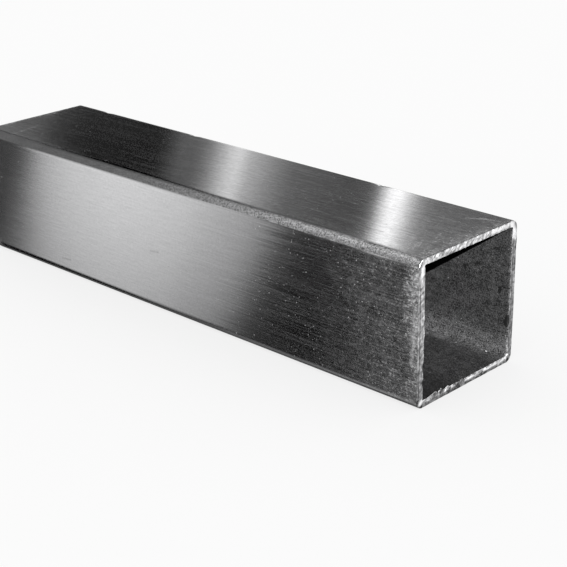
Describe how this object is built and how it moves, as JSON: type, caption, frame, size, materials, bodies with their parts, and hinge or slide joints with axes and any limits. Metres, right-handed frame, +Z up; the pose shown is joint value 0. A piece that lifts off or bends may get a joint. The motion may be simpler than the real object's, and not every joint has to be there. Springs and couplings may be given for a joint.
{
  "type": "square metal tube",
  "caption": "Short saw-cut length of square steel tube with rolled corners, for welding, plugging, clamping or sleeving into frames and brackets.",
  "frame": {"origin": "under the middle of the tube, on the flat surface that it lies on", "axes": "+X along the tube towards the open end that the picture shows, +Y from the front wall to the back wall, +Z up"},
  "size_m": [0.175, 0.04, 0.04],
  "materials": {
    "bright_steel": "bare rolled steel, drawn lengthwise, with dull speckled corners, fine dust specks and bright saw-cut ends"
  },
  "bodies": {
    "root": {"tube": "bright_steel"}
  },
  "joints": []
}
